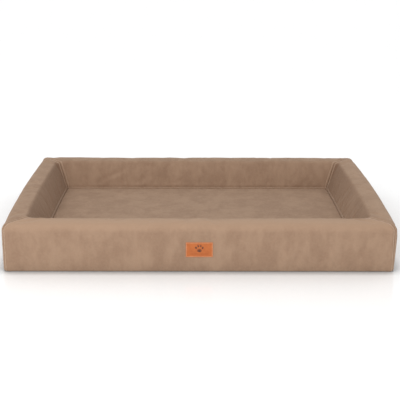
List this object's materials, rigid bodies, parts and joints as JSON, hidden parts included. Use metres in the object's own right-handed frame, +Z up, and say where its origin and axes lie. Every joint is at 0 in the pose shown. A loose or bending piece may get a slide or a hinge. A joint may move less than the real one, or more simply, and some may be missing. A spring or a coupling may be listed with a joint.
{
  "type": "pet cushion bed",
  "caption": "Rectangular pet bed: a padded rim round a flat lying floor, in a removable zipped cover of artificial leather with a small sewn-on patch.",
  "frame": {"origin": "the middle of the underside, on the surface the bed lies on", "axes": "+X along the long front side, to the right as seen from the front; +Y from the front, where the patch is, to the back, where the zip is; +Z up"},
  "size_m": [1.216, 0.8569, 0.1505],
  "materials": {
    "cover_leather": "matte nubuck-like artificial leather, taupe",
    "base_fabric": "dark woven anti-slip fabric with rubbery dots",
    "foam": "open-cell polyurethane foam, pale",
    "topstitch_thread": "twisted polyester thread, a little lighter than the cover",
    "label_leather": "orange-brown embossed patch, smooth grain",
    "label_print": "dark burnished print",
    "label_thread": "twisted thread, light orange",
    "zip_tape": "woven herringbone tape, brown",
    "zip_coil": "moulded nylon, brown, satin",
    "zip_metal": "die-cast zinc, dark bronze lacquer, worn at the edges"
  },
  "bodies": {
    "bed": {"front_wall_sleeve": "cover_leather", "back_wall_sleeve": "cover_leather", "left_wall_sleeve": "cover_leather", "right_wall_sleeve": "cover_leather", "floor_panel": "cover_leather", "base_panel": "base_fabric", "foam_front_bolster": "foam", "foam_back_bolster": "foam", "foam_left_bolster": "foam", "foam_right_bolster": "foam", "base_foam": "foam", "front_left_corner_stitching": "topstitch_thread", "front_right_corner_stitching": "topstitch_thread", "back_left_corner_stitching": "topstitch_thread", "back_right_corner_stitching": "topstitch_thread", "floor_seam_stitching": "topstitch_thread", "label_patch": "label_leather", "label_emblem": "label_print", "label_stitching": "label_thread", "upper_zip_tape": "zip_tape", "lower_zip_tape": "zip_tape", "upper_zip_coil": "zip_coil", "lower_zip_coil": "zip_coil", "zip_top_stops": "zip_metal", "zip_bottom_stop": "zip_metal", "zip_stitching": "topstitch_thread"},
    "slider": {"zip_slider": "zip_metal"},
    "pull": {"zip_pull_tab": "zip_metal"}
  },
  "joints": [
    {"name": "zip_travel", "type": "slide", "parent": "bed", "child": "slider", "axis": [-1, 0, 0], "range_m": [0, 0.938]},
    {"name": "pull_tab_swing", "type": "hinge", "parent": "slider", "child": "pull", "pos_m": [0.469, 0.4281, 0.025], "axis": [0, 0, -1], "range_deg": [0, 178]}
  ]
}
